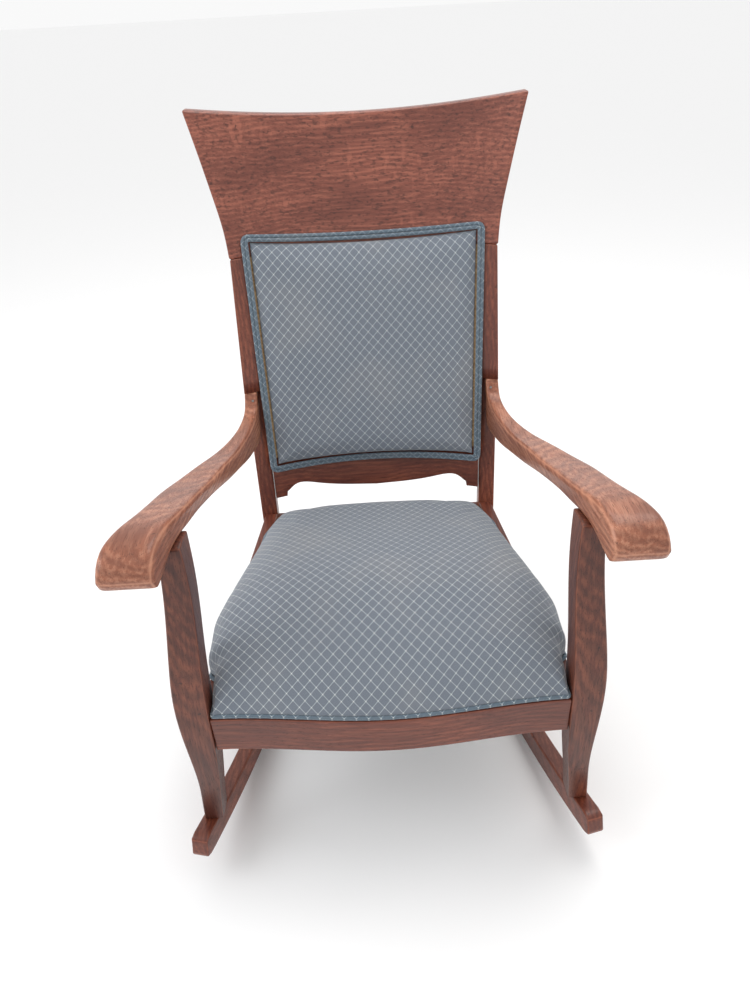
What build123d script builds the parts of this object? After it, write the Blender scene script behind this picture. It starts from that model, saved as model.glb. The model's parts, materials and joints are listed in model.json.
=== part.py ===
from build123d import *
import math
import os

# An upholstered oak rocking chair. X runs to the sitter's left, Y from front to back, Z up.
# Everything is laid out from the front face of the front seat rail and from the floor,
# and moved at the end so that the origin lies on the floor under the middle of the chair.

# Seat frame
front_width = 540.0          # clear width between the two front legs at the seat
front_half = front_width / 2
seat_bow = 20.0              # how far the front rail swells forward in its middle
rail_height = 67.0
rail_thickness = 24.0
rail_top = 335.0             # top of the seat rails above the floor
rail_front_half = front_half + 18.0    # middle of the chair to the outside of a side rail, at the legs
tenon_thickness = 9.0
tenon_height = 44.0
rear_rail_top = 320.0        # the rear rail is lower than the others
rear_rail_thickness = 20.0
front_tenon_length = 20.0
back_tenon_length = 12.0
joint_clearance = 0.15

# Back
back_lean = 16.8             # degrees that the back leans from upright
back_foot = 455.0            # where the line of the back's face meets the floor, in its middle
back_radius = 640.0          # the hollow of the back, seen from above
back_rim = 400.0             # half width of the surfaces that the back is cut from
arm_joint_height = 586.0     # butt joint of an arm's upturned end under the stile
crest_joint_height = 824.0   # butt joint of a stile under the crest board
crest_tip_height = 1069.0
crest_dip = 26.0             # how far the top of the crest sinks between its ears
crest_tip_half = 300.0
crest_foot_half = 249.0
crest_thickness = 25.0
stile_half = 247.5           # middle of the chair to the outside of a stile
post_width = 30.0
post_depth = 54.0            # depth of a stile just above the arm
arm_notch = 18.0             # how deep the arm's end is let into the post
post_foot_half = 227.0
post_seat_half = 239.0
lower_rail_top = 452.0
lower_rail_ear = 366.0       # underside of the lower back rail, at its ears and in its middle
lower_rail_scallop = 388.0
lower_rail_setback = 10.0
panel_bottom = 425.0
panel_top = 850.0
panel_corner_rise = 15.0     # how much higher the panel's top corners are than its middle
panel_bottom_half = 211.5
panel_top_half = 226.0
panel_crown_radius = 1160.0  # the padded face is flatter than the frame behind it
panel_crown = 29.0           # thickness of the padding in the middle of the panel
panel_rim = 238.0            # half width at which the padded face meets the hollow back

# Front legs, rockers and arms
leg_foot_half = front_half + 38.0      # middle of the chair to the middle of a leg's foot
leg_foot_y = 25.0
leg_back_y = 45.0            # back face of a front leg at the seat rails
foot_run = 409.32            # from a front leg's foot back to the foot of the post behind it
rocker_radius = 1500.0
rocker_height = 42.0
rocker_thickness = 28.0
rocker_front = -48.0
rocker_back = 745.0
balance_y = 355.0            # the rockers touch the floor under the chair's balance point
dowel_diameter = 16.0
dowel_depth = 17.0
rocker_end_rounding = 9.0
arm_dowel_x = 14.0           # from the leg's inner face at the seat
arm_dowel_y = 74.0

# Upholstery
cover_thickness = 2.5
batting_thickness = 5.8
layer_gap = 0.3
welt_size = 7.0
pad_front_half = front_half + 16.0     # side of the seat pad just behind the front legs
pad_back_half = 217.0
pad_back = 512.0
pad_crown = 452.0            # highest point of the seat above the floor
spring_floor = 268.0
spring_radius = 38.0
spring_height = 108.0
spring_turns = 4.5
spring_wire = 3.6
spring_rows = (115.0, 260.0, 405.0)
spring_steps = (150.0, 135.0, 112.0)   # spacing of the springs across each row
webbing_width = 50.0
webbing_thickness = 2.0

# Fastenings
screw_diameter = 4.5
screw_head = 9.0
tack_head = 7.0
tack_head_height = 1.2

lean = math.tan(math.radians(back_lean))
rail_bottom = rail_top - rail_height
post_foot_middle = post_foot_half - post_width / 2 + 1.5

# How much a side rail closes in for each millimetre towards the back
rail_taper = (rail_front_half - post_seat_half + 6.62) / 515.0

# Degrees between a rocker and the chair's middle line
rocker_toe_in = math.degrees(math.atan((leg_foot_half - post_foot_middle) / foot_run))


def across(face_in_side_view, half_width=400.0):
    """Extrude a Y-Z outline both ways across the chair."""
    return extrude(Plane.YZ * face_in_side_view, half_width, both=True)


def through(face_in_front_view):
    """Extrude an X-Z outline from front to back through the whole chair."""
    return extrude(Plane.XZ * face_in_front_view, 1200, both=True)


def upward(face_in_plan, low, high):
    """Extrude an X-Y outline between two heights."""
    return Pos(0, 0, low) * extrude(face_in_plan, high - low)


def outline(*curves):
    """A face inside a closed run of curves."""
    return make_face([edge for curve in curves for edge in curve.edges()])


def ruled(one, other):
    """A face between two edges, closed by straight lines at their ends."""
    return outline(one, other, Line(one @ 0, other @ 0), Line(one @ 1, other @ 1))


def other_side(part):
    """The same piece for the other side of the chair."""
    return mirror(part, about=Plane.YZ)


def both(part):
    """A piece and the same piece for the other side."""
    return [part, other_side(part)]


def back_face_y(x, z, offset=0.0):
    """Depth of the back's hollow face at a point of the front view."""
    return back_foot - back_radius + math.sqrt((back_radius + offset) ** 2 - x * x) + lean * z


def back_arc(offset):
    """Plan of the back's hollow face at floor level, or of a face parallel to it."""
    middle = back_foot - back_radius
    radius = back_radius + offset
    end = middle + math.sqrt(radius ** 2 - back_rim ** 2)
    return ThreePointArc((-back_rim, end), (0, middle + radius), (back_rim, end))


def leaning(plan):
    """Extrude a plan up along the lean of the back."""
    return extrude(plan, 1150 * math.hypot(lean, 1), dir=(0, lean, 1))


def back_slab(near, far):
    """A leaning, hollow layer of the back between two depths behind its face."""
    arcs = [back_arc(near), back_arc(far)]
    ends = [Line(arcs[0] @ side, arcs[1] @ side) for side in (0, 1)]
    return leaning(outline(*arcs, *ends))


def before_back(offset):
    """The room in front of the back's face, for cutting."""
    arc = back_arc(offset)
    front = -700.0
    rest = Polyline(arc @ 0, (-back_rim, front), (back_rim, front), arc @ 1)
    return leaning(outline(arc, rest))


def rocker_point(y):
    """Middle line of a rocker in plan."""
    return leg_foot_half - math.tan(math.radians(rocker_toe_in)) * (y - leg_foot_y)


def rocker_top_at(y):
    """Height of a rocker's upper edge at a depth of the chair."""
    along = (y - balance_y) / math.cos(math.radians(rocker_toe_in))
    inner = rocker_radius - rocker_height
    return rocker_radius - math.sqrt(inner ** 2 - along ** 2)


def on_rocker_line(solid):
    """Stand a solid that was drawn along Y on the line of the right rocker."""
    return Pos(rocker_point(balance_y), balance_y, 0) * Rot(0, 0, rocker_toe_in) * solid


def rocker_blank(rounding):
    """A curved board, its lower edge an arc of the rocking radius."""
    turn = math.cos(math.radians(rocker_toe_in))
    start = math.asin((rocker_front - balance_y) / turn / rocker_radius)
    stop = math.asin((rocker_back - balance_y) / turn / rocker_radius)

    def at(radius, angle):
        return radius * math.sin(angle), rocker_radius - radius * math.cos(angle)

    inner = rocker_radius - rocker_height
    middle = (start + stop) / 2
    lower = ThreePointArc(at(rocker_radius, start), at(rocker_radius, middle), at(rocker_radius, stop))
    upper = ThreePointArc(at(inner, start), at(inner, middle), at(inner, stop))
    ends = [Line(lower @ side, upper @ side) for side in (0, 1)]
    face = outline(lower, upper, *ends)
    if rounding:
        face = fillet(face.vertices(), rounding)
    return across(face, rocker_thickness / 2)


def arm_under_edge():
    """Underside of an arm in side view, from the nose to the deep end at the post."""
    drop = arm_joint_height
    rise = [(2, 21), (34, 31), (60, 36), (116, 25), (218, -3), (355, -49), (444, -74), (540, -92), (640, -104)]
    return Spline([(y, drop + height) for y, height in rise])


def above_arm_under_edge():
    """Everything over the underside of an arm, for trimming the top of a leg."""
    under = arm_under_edge()
    rest = Polyline(under @ 0, (-60, 607), (-60, 900), (640, 900), under @ 1)
    return across(outline(under, rest))


def over_rocker_top():
    """The room over the upper edge of the right rocker, as deep as the chair."""
    inner = rocker_radius - rocker_height
    return on_rocker_line(Pos(0, 0, rocker_radius) * Rot(0, 90, 0) * Cylinder(inner, 500))


def leg_blank():
    """A shaped front leg: its front view and its side view, both gently curved."""
    side = front_half
    outer_edge = Spline(
        (side + 52, 30), (side + 49, 105), (side + 42, 190), (side + 46, 295), (side + 49, 370), (side + 45, 430),
        (side + 33, 560), (side + 30, 650),
    )
    inner_edge = Spline(
        (side + 24, 30), (side + 16, 120), (side + 7, 195), (side + 1, 270), (side + 0.5, 340), (side - 1, 425),
        (side - 5, 560), (side, 650),
    )
    front_edge = Spline((6, 30), (2, 120), (-4, 200), (-5, 290), (8, 400), (30, 510), (52, 650))
    back_edge = Spline((46, 30), (44, 120), (43, 200), (45, 290), (56, 400), (76, 510), (104, 650))
    return through(ruled(outer_edge, inner_edge)) & across(ruled(front_edge, back_edge))


def arm_blank():
    """An arm: an upturned, deep back end, a long rise, and a nose that rolls down."""
    joint_x = stile_half - post_width / 2
    joint_y = back_face_y(joint_x, arm_joint_height)
    joint = arm_joint_height
    top_edge = Spline(
        (joint_y, joint), (joint_y - 6 * lean, joint - 6), (joint_y - 36, joint - 33), (joint_y - 83, joint - 37),
        (402, joint - 25), (253, joint + 14), (159, joint + 43), (78, joint + 68), (27, joint + 77), (-8, joint + 71),
        (-27, joint + 50),
    )
    under_edge = arm_under_edge()
    nose = ThreePointArc(top_edge @ 1, (-20, joint + 25), under_edge @ 0)
    back_end = Polyline(under_edge @ 1, (640, joint), (joint_y, joint))
    side_view = outline(top_edge, nose, under_edge, back_end)
    side = front_half
    outer_edge = Spline(
        (stile_half, 660), (stile_half + 1, 590), (stile_half + 8.5, 533), (side + 2, 454), (side + 20, 390),
        (side + 38, 311), (side + 52, 245), (side + 61, 165), (side + 66, 100), (side + 77, 44), (side + 87, 0),
        (side + 88, -40),
    )
    inner_edge = Spline(
        (stile_half - 25, 660), (stile_half - 23.5, 590), (side - 27, 402), (side - 12, 253), (side - 4, 159),
        (side + 2, 78), (side + 11, 15), (side + 16, -40),
    )
    blank = across(side_view) & upward(ruled(outer_edge, inner_edge), joint - 136, joint + 114)
    return blank & before_back(arm_notch)


def post_blank():
    """A rear post with its stile, straight and leaning, let in below for the arm."""
    foot = 20.0
    outer_points = [
        (post_foot_half, foot), (post_seat_half, 318), (stile_half, arm_joint_height), (stile_half, crest_joint_height),
    ]
    outer = Polyline(*outer_points)
    inner = Polyline(*[(x - post_width, z) for x, z in outer_points])
    front_view = ruled(outer, inner)
    face_line = back_face_y(stile_half - post_width / 2, 0)
    side_view = outline(
        Polyline(
            (face_line - 30 + lean * foot, foot),
            (face_line + post_depth + lean * foot, foot),
            (face_line + post_depth + lean * arm_joint_height, arm_joint_height),
            (face_line + crest_thickness + lean * crest_joint_height, crest_joint_height),
            (face_line - 30 + lean * crest_joint_height, crest_joint_height),
            (face_line - 30 + lean * foot, foot),
        )
    )
    blank = through(front_view) & across(side_view)
    let_in = before_back(arm_notch) & Pos(0, 0, arm_joint_height / 2) * Box(900, 3000, arm_joint_height)
    return blank - before_back(0.0) - let_in


def crest():
    """The wide crest board: hollow sides, eared top corners and a dipped top edge."""
    side = Spline(
        (crest_foot_half, crest_joint_height), (crest_foot_half + 5, 872), (265, 925), (281, 993),
        (crest_tip_half, crest_tip_height),
    )
    top = ThreePointArc(
        (-crest_tip_half, crest_tip_height), (0, crest_tip_height - crest_dip), (crest_tip_half, crest_tip_height)
    )
    foot = Line((-crest_foot_half, crest_joint_height), (crest_foot_half, crest_joint_height))
    view = outline(side, top, mirror(side, about=Plane.YZ), foot)
    return through(view) & back_slab(0.0, crest_thickness)


def lower_back_rail_board():
    """The rail under the panel, scalloped between two small ears."""
    end = 240.0
    ear_start = 194.0
    scallop = 150.0
    right = Spline(
        (0, lower_rail_ear), (75, lower_rail_ear + 6), (scallop, lower_rail_scallop),
        (ear_start - 10, lower_rail_ear + 8),
        tangents=((1, 0), (0.5, -1)),
    )
    left = mirror(right, about=Plane.YZ)
    corner = ear_start - 10
    ears = [
        Polyline((side * corner, lower_rail_ear + 8), (side * corner, lower_rail_ear), (side * end, lower_rail_ear),
                 (side * end, lower_rail_top))
        for side in (-1, 1)
    ]
    view = outline(right, left, *ears, Line((-end, lower_rail_top), (end, lower_rail_top)))
    return through(view) & back_slab(lower_rail_setback, lower_rail_setback + 22)


def lower_back_rail_tenons(extra=0.0):
    """Stub tenons of the lower back rail, or their mortises with room to spare."""
    middle = (lower_rail_top + lower_rail_scallop) / 2
    reach = 2 * (post_seat_half - post_width / 2 + 4 + extra)
    bar = Pos(0, 0, middle) * Box(reach, 3000, 36 + 2 * extra)
    return bar & back_slab(lower_rail_setback + 12 - extra, lower_rail_setback + 19 + extra)


def front_rail_tenons(extra=0.0):
    """The bar that ends in the front rail's tenons."""
    reach = 2 * (front_half + front_tenon_length + extra)
    bar = Box(reach, tenon_thickness + 2 * extra, tenon_height + 2 * extra)
    return Pos(0, rail_thickness / 2, rail_bottom + rail_height / 2) * bar


def rear_rail_slab(near, far, half_length, low, high):
    """A straight board between the rear posts, leaning with them."""
    line = back_face_y(post_seat_half - post_width, 0, arm_notch)
    face = outline(
        Polyline(
            (line + near + lean * low, low), (line + far + lean * low, low), (line + far + lean * high, high),
            (line + near + lean * high, high), (line + near + lean * low, low),
        )
    )
    return across(face, half_length)


def rear_rail_tenons(extra=0.0):
    """The bar that ends in the rear rail's tenons."""
    middle = (rail_bottom + rear_rail_top) / 2
    half_length = post_seat_half - post_width + back_tenon_length + extra
    half_height = tenon_height / 2 + extra
    near, far = rear_rail_thickness - 6 - extra, rear_rail_thickness + extra
    return rear_rail_slab(near, far, half_length, middle - half_height, middle + half_height)


def front_rail_board():
    """The front seat rail, swelling forward in its middle with a serpentine face."""
    quarter = front_half / 2
    face = Spline(
        (-front_half, 0.0), (-quarter, -seat_bow / 2), (0, -seat_bow), (quarter, -seat_bow / 2), (front_half, 0.0),
        tangents=((1, 0), (1, 0)),
    )
    back = Polyline(face @ 0, (-front_half, rail_thickness), (front_half, rail_thickness), face @ 1)
    return upward(outline(face, back), rail_bottom, rail_top)


def side_rail_line(inset, y):
    """Plan position of a line along the side rail, so far inside its outer face."""
    return rail_front_half - inset - rail_taper * (y - leg_foot_y)


def side_rail_strip(start, stop, near, far, low, high):
    """A straight strip along the side rail, between two distances inside its outer face."""
    plan = Polyline(
        (side_rail_line(near, start), start), (side_rail_line(near, stop), stop),
        (side_rail_line(far, stop), stop), (side_rail_line(far, start), start),
        (side_rail_line(near, start), start),
    )
    return upward(outline(plan), low, high)


def side_rail_board():
    """A side seat rail from front leg to rear post."""
    board = side_rail_strip(leg_foot_y, 600.0, 0, rail_thickness, rail_bottom, rail_top)
    return board & before_back(arm_notch)


def side_rail_tenons(extra=0.0):
    """The bar that ends in the side rail's tenons."""
    middle_height = rail_bottom + rail_height / 2
    post_front = back_face_y(post_seat_half - post_width / 2, middle_height, arm_notch)
    middle = rail_thickness / 2
    half, tall = tenon_thickness / 2 + extra, tenon_height / 2 + extra
    start = leg_back_y - front_tenon_length - extra
    stop = post_front + back_tenon_length + extra
    return side_rail_strip(start, stop, middle - half, middle + half, middle_height - tall, middle_height + tall)


def pad_solid(inset):
    """The seat pad's crowned shape, drawn in by so much from its outer skin."""
    base = rail_top
    crown = pad_crown - inset
    nose = -seat_bow + inset
    rear = pad_back - inset
    top = Spline(
        (nose, base + 14), (nose + 26, base + 38), (34 + inset * 0.5, base + 66 - inset * 0.5), (100, crown - 10),
        (165, crown), (240, crown - 9), (430, crown - 52), (rear - 18, crown - 74), (rear, crown - 96),
    )
    sides = Polyline(top @ 0, (nose, base), (rear, base), top @ 1)
    side_view = outline(top, sides)
    half = pad_front_half - inset
    shoulder = Spline((half, base), (half + 2, base + 40), (half - 22, crown - 34), (half - 90, crown - 10), (0, crown + 6),
                      tangents=((0, 1), (-1, 0)))
    view = outline(shoulder, mirror(shoulder, about=Plane.YZ), Line((-half, base), (half, base)))
    return across(side_view) & through(view) & upward(pad_plan(inset), base, crown + 30)


def pad_plan(inset):
    """Plan of the seat pad: between the front legs, round behind them, and tapering to the back."""
    neck = front_half - 6 - inset
    shoulder_y = 74.0 + inset
    quarter = neck / 2
    swell = 1 + inset - seat_bow
    face = Spline(
        (-neck, 2 + inset), (-quarter, swell + seat_bow / 2), (0, swell), (quarter, swell + seat_bow / 2),
        (neck, 2 + inset),
        tangents=((1, 0), (1, 0)),
    )
    around = []
    for side in (-1, 1):
        around.append(
            Polyline(
                (side * neck, 2 + inset), (side * neck, shoulder_y), (side * (pad_front_half - inset), shoulder_y + 6),
                (side * (pad_back_half - inset + 12), pad_back - 60),
                (side * (pad_back_half - inset - 14), pad_back - inset),
            )
        )
    rear = Line(around[0] @ 1, around[1] @ 1)
    return outline(face, *around, rear)


def above(solid, height):
    """The part of a solid over a height."""
    return solid & Pos(0, 300, height + 200) * Box(900, 900, 400)


def spring_plan(inset):
    """Plan of the hollow where the springs stand."""
    corners = Polyline(
        (-front_half + 34 + inset, 62 + inset), (front_half - 34 - inset, 62 + inset), (180 - inset, 448 - inset), (-180 + inset, 448 - inset),
        (-front_half + 34 + inset, 62 + inset),
    )
    return outline(corners)


def spring_room():
    """The hollow under the stuffing where the springs stand."""
    return upward(spring_plan(0), rail_bottom - 20, spring_floor + spring_height + 6)


def springs():
    """Nine coil springs in three rows, standing on the webbing."""
    path = Helix(pitch=spring_height / spring_turns, height=spring_height - spring_wire, radius=spring_radius)
    section = Plane(origin=path @ 0, z_dir=path % 0) * Circle(spring_wire / 2)
    coil = Pos(0, 0, spring_floor + spring_wire) * sweep(section, path=path)
    places = []
    for row_y, step in zip(spring_rows, spring_steps):
        for column in (-1, 0, 1):
            places.append(Pos(column * step, row_y, 0))
    return [place * coil for place in places]


def seat_straps():
    """Jute webbing under the springs, three strips each way, tacked under the rails."""
    upper = rail_bottom - webbing_thickness / 2
    lower = upper - webbing_thickness
    strips = []
    for row_y in spring_rows:
        reach = side_rail_line(rail_thickness / 2, row_y + webbing_width / 2)
        strips.append(Pos(0, row_y, upper) * Box(2 * reach, webbing_width, webbing_thickness))
    for column in (-1, 0, 1):
        strips.append(Pos(column * 125, 272, lower) * Box(webbing_width, 508, webbing_thickness))
    return strips


def panel_view(inset):
    """Front view of the padded back panel, drawn in by so much."""
    low, high = panel_bottom + inset, panel_top - inset
    corner = high + panel_corner_rise
    bottom_half, top_half = panel_bottom_half - inset, panel_top_half - inset
    top = ThreePointArc((-top_half, corner), (0, high), (top_half, corner))
    rest = Polyline(top @ 1, (bottom_half, low), (-bottom_half, low), top @ 0)
    return outline(top, rest)


def crowned_arc(radius, middle_y):
    """Plan of a hollow face of the back panel at floor level."""
    end = middle_y - radius + math.sqrt(radius ** 2 - panel_rim ** 2)
    return ThreePointArc((-panel_rim, end), (0, middle_y), (panel_rim, end))


def panel_block(inset, proud, back):
    """The padded panel between its crowned face and its back, both leaning with the chair's back."""
    front = crowned_arc(panel_crown_radius, back_foot - proud)
    rear = crowned_arc(back_radius + back, back_foot + back)
    ends = [Line(front @ side, rear @ side) for side in (0, 1)]
    return through(panel_view(inset)) & leaning(outline(front, rear, *ends))


def panel_ring(outer, inner, near, far):
    """A border of the back panel between two outlines and two depths."""
    return (through(panel_view(outer)) - through(panel_view(inner))) & back_slab(near, far)


def slip_view(inset):
    """Front view of the slip frame that fills the opening between the stiles."""
    low, high = lower_rail_top + 0.4 + inset, crest_joint_height - 0.4 - inset
    foot = post_seat_half - post_width + 3.6 - inset
    head = stile_half - post_width - 0.5 - inset
    corners = Polyline((-foot, low), (foot, low), (head, arm_joint_height), (head, high), (-head, high),
                       (-head, arm_joint_height), (-foot, low))
    return outline(corners)


def back_straps():
    """Webbing across and up the slip frame, under the back stuffing."""
    strips = []
    for height in (520, 640, 760):
        band = Pos(0, 0, height) * Box(386, 3000, webbing_width)
        strips.append(band & back_slab(-0.4 - webbing_thickness, -0.4))
    for column in (-1, 0, 1):
        band = Pos(column * 125, 0, 638) * Box(webbing_width, 3000, 360)
        strips.append(band & back_slab(-0.4 - 2 * webbing_thickness, -0.4 - webbing_thickness))
    return strips


def screw(length):
    """A countersunk wood screw along Z, its head's face at zero and its point downwards."""
    head_height = (screw_head - screw_diameter) / 2
    shank = Pos(0, 0, -length / 2) * Cylinder(screw_diameter / 2, length)
    head = Pos(0, 0, -head_height / 2) * Cone(screw_diameter / 2, screw_head / 2, head_height)
    return shank + head


def aimed_screw(length, start, target):
    """A screw with its head at one point, driven towards another."""
    axis = Vector(*start) - Vector(*target)
    return Plane(origin=start, z_dir=axis.normalized()) * screw(length)


def arm_screws():
    """Two screws through the back of the right post into the arm's upturned end."""
    x = stile_half - post_width / 2
    back_line = back_face_y(x, 0) + post_depth
    screws = []
    for height in (512, 556):
        start = (x, back_line + lean * height, height)
        target = (x, start[1] - 1, height + lean)
        screws.append(aimed_screw(56, start, target))
    return screws


def tack():
    """A small tack pointing up, its head's underside at zero."""
    head = Pos(0, 0, -tack_head_height / 2) * Cylinder(tack_head / 2, tack_head_height)
    return head + Pos(0, 0, 4) * Cylinder(0.9, 8)


def dust_cover_plan(inset):
    """Plan of the cloth that closes the underside of the seat."""
    front_y, back_y = 6.0 + inset, 528.0 - inset
    front_x, back_x = side_rail_line(20, leg_foot_y) - inset, post_seat_half - post_width - 5 - inset
    return Polyline((-front_x, front_y), (front_x, front_y), (back_x, back_y), (-back_x, back_y), (-front_x, front_y))


def along_edges(path, pitch):
    """Evenly spaced points along each straight side of a closed path."""
    points = []
    for edge in path.edges():
        count = round(edge.length / pitch)
        points += [edge @ ((step + 0.5) / count) for step in range(count)]
    return points


def dowel(x, y, middle, diameter, depth):
    """An upright dowel centred on a joint."""
    return Pos(x, y, middle) * Cylinder(diameter / 2, 2 * depth)


def drilled(piece, pins, extra=joint_clearance):
    """A piece with holes for pins, a little larger than they are."""
    for pin in pins:
        box = pin.bounding_box()
        center = box.center()
        hole = Pos(center.X, center.Y, center.Z) * Cylinder(box.size.X / 2 + extra, box.size.Z + 2 * extra)
        piece = piece - hole
    return piece


def corner_block(points):
    """A triangular glue block in a corner of the seat frame."""
    return upward(outline(Polyline(*points, points[0])), rail_bottom, rail_top - 12)


def build():
    """Make every piece in its place and return them by name."""
    # Wooden frame, the right-hand pieces first
    rocker = on_rocker_line(rocker_blank(rocker_end_rounding))
    arm = arm_blank()
    leg = (leg_blank() - above_arm_under_edge()) & over_rocker_top()
    post = post_blank() & over_rocker_top()
    left_leg, left_post = other_side(leg), other_side(post)
    crest_board = crest()

    front_rail = (front_rail_board() - leg - left_leg) + front_rail_tenons()
    side_rail = (side_rail_board() - leg) + side_rail_tenons()
    rear_rail = rear_rail_slab(0, rear_rail_thickness, post_seat_half - 8, rail_bottom, rear_rail_top)
    rear_rail = rear_rail - post - left_post
    rear_rail = rear_rail + rear_rail_tenons()
    lower_rail = lower_back_rail_board() - post - left_post + lower_back_rail_tenons()
    leg = leg - front_rail_tenons(joint_clearance) - side_rail_tenons(joint_clearance)
    post = post - side_rail_tenons(joint_clearance) - rear_rail_tenons(joint_clearance)
    post = post - lower_back_rail_tenons(joint_clearance)

    # Dowels and screws
    foot_y = back_face_y(post_foot_half, 55, arm_notch) + 15
    front_pin = dowel(leg_foot_half, leg_foot_y, rocker_top_at(leg_foot_y), dowel_diameter, dowel_depth)
    back_pin = dowel(post_foot_middle, foot_y, rocker_top_at(foot_y), dowel_diameter, dowel_depth)
    arm_pin = dowel(front_half + arm_dowel_x, arm_dowel_y, arm_joint_height + 32, dowel_diameter, dowel_depth - 1)
    stile_x = stile_half - post_width / 2
    stile_y = back_face_y(stile_x, crest_joint_height) + crest_thickness / 2
    crest_pins = [dowel(stile_x + shift, stile_y, crest_joint_height, 9, 15) for shift in (-7, 7)]
    screws = arm_screws()
    rocker = drilled(rocker, [front_pin, back_pin])
    leg = drilled(leg, [front_pin, arm_pin])
    post = drilled(post, [back_pin, *crest_pins])
    arm = drilled(arm, [arm_pin])
    for pins in (crest_pins, [other_side(pin) for pin in crest_pins]):
        crest_board = drilled(crest_board, pins)
    for piece in screws:
        arm = arm - piece
        post = post - piece

    # Corner blocks, each held by a screw into the leg or post
    inner = rail_thickness
    front_block = corner_block([
        (side_rail_line(inner, rail_thickness), rail_thickness),
        (side_rail_line(inner, rail_thickness) - 62, rail_thickness),
        (side_rail_line(inner, 92), 92), (side_rail_line(inner, 28), 28),
    ])
    back_block = corner_block([
        (side_rail_line(inner, 560), 560), (side_rail_line(inner, 520) - 60, 560),
        (side_rail_line(inner, 520) - 60, 524),
        (side_rail_line(inner, 452), 452),
    ])
    back_block = back_block - rear_rail_slab(0, 200, 300, 0, 400) - side_rail - post
    low = rail_bottom + 5
    front_screw = aimed_screw(68, (front_half - 41, 58, low), (front_half + 17, 19, low))
    back_screw = aimed_screw(62, (168, 490, low), (222, 532, low))
    front_block = front_block - front_screw
    back_block = back_block - back_screw
    side_rail = side_rail - front_screw - back_screw
    leg = leg - front_screw
    post = post - back_screw
    rear_rail = rear_rail - back_screw - other_side(back_screw)

    # Seat upholstery
    straps = seat_straps()
    burlap = upward(spring_plan(2), spring_floor + spring_height + 2.5, spring_floor + spring_height + 4)
    above_welt = rail_top + welt_size + 0.4
    batting_inset = cover_thickness + layer_gap
    stuffing_inset = batting_inset + batting_thickness + layer_gap
    skin = pad_solid(0)
    under_cover = pad_solid(cover_thickness)
    batting_skin = pad_solid(batting_inset) & under_cover
    under_batting = pad_solid(batting_inset + batting_thickness) & batting_skin
    cover = above(skin - under_cover, above_welt)
    batting = above(batting_skin - under_batting, above_welt)
    stuffing = (pad_solid(stuffing_inset) & under_batting) - spring_room()
    welt_top = rail_top + welt_size
    welt = upward(pad_plan(0), rail_top, welt_top) - upward(pad_plan(welt_size), rail_top, welt_top)
    underside = rail_bottom - 2 * webbing_thickness
    dust_cover = upward(outline(dust_cover_plan(0)), underside - 1.2, underside)
    tacks = [Pos(at.X, at.Y, underside - 1.2) * tack() for at in along_edges(dust_cover_plan(6), 62)]
    for piece in tacks:
        dust_cover = dust_cover - piece
        straps = [strap - piece for strap in straps]
        front_rail = front_rail - piece
        rear_rail = rear_rail - piece
        side_rail = side_rail - piece
        front_block = front_block - piece
        back_block = back_block - piece

    # Back upholstery
    slip_frame = (through(slip_view(0)) - through(slip_view(34))) & back_slab(0.6, 19)
    outside_back = through(slip_view(1)) & back_slab(19.2, 20.8)
    back_cover = panel_block(2 * welt_size + 1, panel_crown, -5)
    edge = 2 * welt_size + 1 + cover_thickness
    back_cover = back_cover - panel_block(edge, panel_crown - cover_thickness, 0)
    back_stuffing = panel_block(edge + layer_gap, panel_crown - cover_thickness - layer_gap, -5)
    welts = [panel_ring(0, welt_size - 0.1, -14, -0.3), panel_ring(welt_size + 0.1, 2 * welt_size, -14, -0.3)]

    pieces = {
        "rocker": rocker, "front_leg": leg, "rear_post": post, "arm": arm, "side_seat_rail": side_rail,
    }
    named = {}
    for name, piece in pieces.items():
        named[name + "_right"] = [piece]
        named[name + "_left"] = [other_side(piece)]
    named.update({
        "crest_board": [crest_board],
        "lower_back_rail": [lower_rail],
        "front_seat_rail": [front_rail],
        "rear_seat_rail": [rear_rail],
        "corner_blocks": both(front_block) + both(back_block),
        "corner_block_screws": both(front_screw) + both(back_screw),
        "arm_screws": [side for piece in screws for side in both(piece)],
        "rocker_dowels": both(front_pin) + both(back_pin),
        "arm_dowels": both(arm_pin),
        "crest_dowels": [side for piece in crest_pins for side in both(piece)],
        "seat_webbing": straps,
        "seat_springs": springs(),
        "seat_burlap": [burlap],
        "seat_stuffing": [stuffing],
        "seat_batting": [batting],
        "seat_cover": [cover],
        "seat_welt": [welt],
        "dust_cover": [dust_cover],
        "dust_cover_tacks": tacks,
        "back_slip_frame": [slip_frame],
        "back_webbing": back_straps(),
        "back_stuffing": [back_stuffing],
        "back_cover": [back_cover],
        "back_welt": welts,
        "outside_back_cover": [outside_back],
    })
    return named


def solids_of(pieces):
    """All separate solids of a node."""
    return [solid for piece in pieces for solid in piece.solids()]


def main():
    os.makedirs("parts", exist_ok=True)
    named = {name: solids_of(pieces) for name, pieces in build().items()}
    box = Compound([solid for solids in named.values() for solid in solids]).bounding_box()
    to_origin = Pos(-box.center().X, -box.center().Y, -box.min.Z)
    for name, solids in named.items():
        moved = [to_origin * solid for solid in solids]
        shape = moved[0] if len(moved) == 1 else Compound(moved)
        export_step(shape, os.path.join("parts", name + ".step"))


main()
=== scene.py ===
import json
import math

import bpy
import numpy as np
from mathutils import Matrix, Vector


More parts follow.
